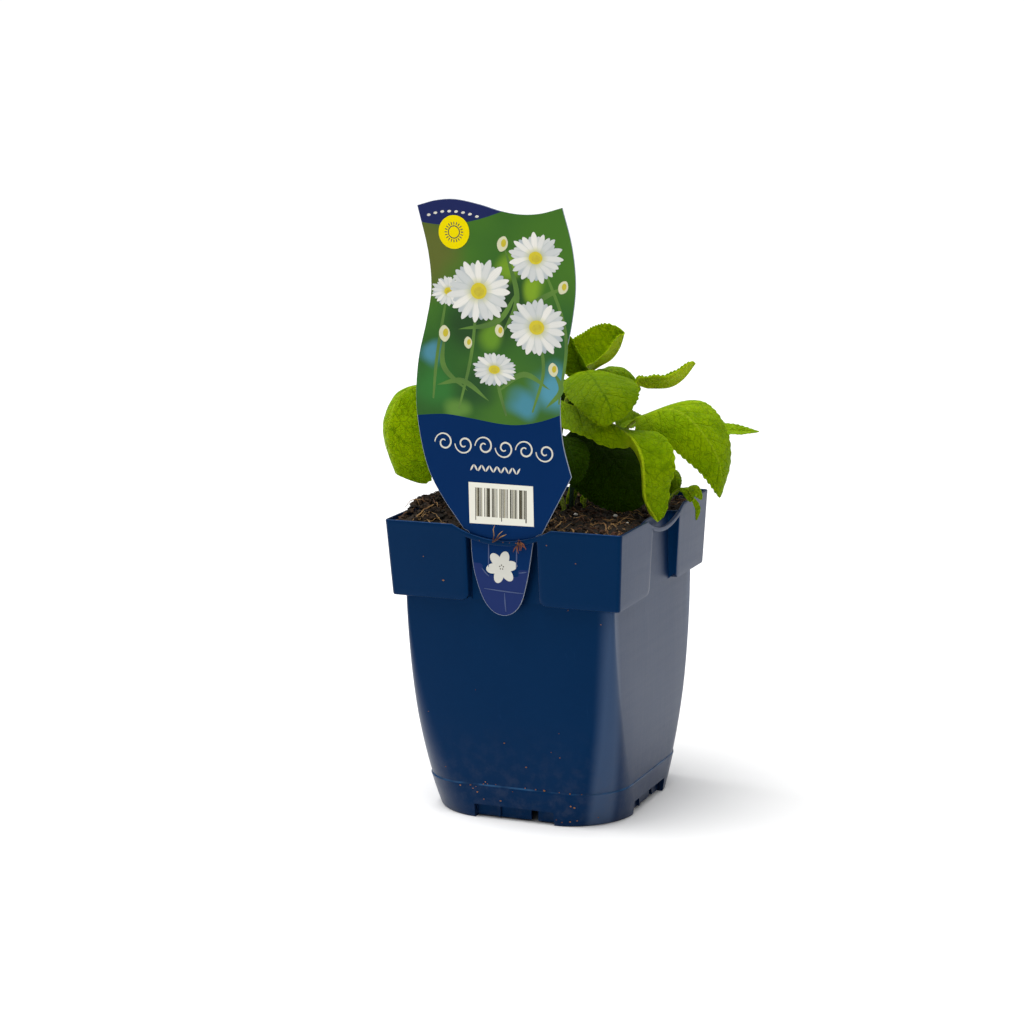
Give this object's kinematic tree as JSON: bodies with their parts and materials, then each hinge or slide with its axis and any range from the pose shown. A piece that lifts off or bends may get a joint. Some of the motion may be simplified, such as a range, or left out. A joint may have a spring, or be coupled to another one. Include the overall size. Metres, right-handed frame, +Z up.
{
  "type": "potted plant",
  "caption": "Young leafy bellflower in moist compost in a square blue nursery pot with a flared rim band, a tall waved plant label tucked behind its front bar.",
  "frame": {"origin": "middle of the part's box, on the ground plane that the pot stands on", "axes": "+Z up, -Y towards the side of the pot that carries the label, +X to the right when looking at the label"},
  "size_m": [0.1448, 0.1228, 0.2718],
  "materials": {
    "pot_plastic": "dark blue, satin, lightly scuffed",
    "label_plastic": "printed sheet plastic with a dull gloss",
    "soil": "moist dark compost with tan fibres",
    "leaf": "fresh yellow green, softly matt, veined"
  },
  "bodies": {
    "root": {"pot": "pot_plastic", "soil": "soil", "plant_label": "label_plastic", "leaf_front_broad": "leaf", "leaf_right_drooping": "leaf", "leaf_front_arching": "leaf", "leaf_top_cupped": "leaf", "leaf_top_young": "leaf", "leaf_behind_broad": "leaf", "leaf_boat_shaped": "leaf", "leaf_far_right": "leaf", "leaf_left_drooping": "leaf", "leaf_shaded_large": "leaf", "leaf_shaded_small": "leaf", "leaf_middle": "leaf", "leaf_low_right": "leaf", "leaf_back_left": "leaf", "leaf_back": "leaf", "leaf_back_low": "leaf", "leaf_front_left": "leaf", "leaf_upright": "leaf", "leaf_young": "leaf", "side_shoot": "leaf"}
  },
  "joints": []
}
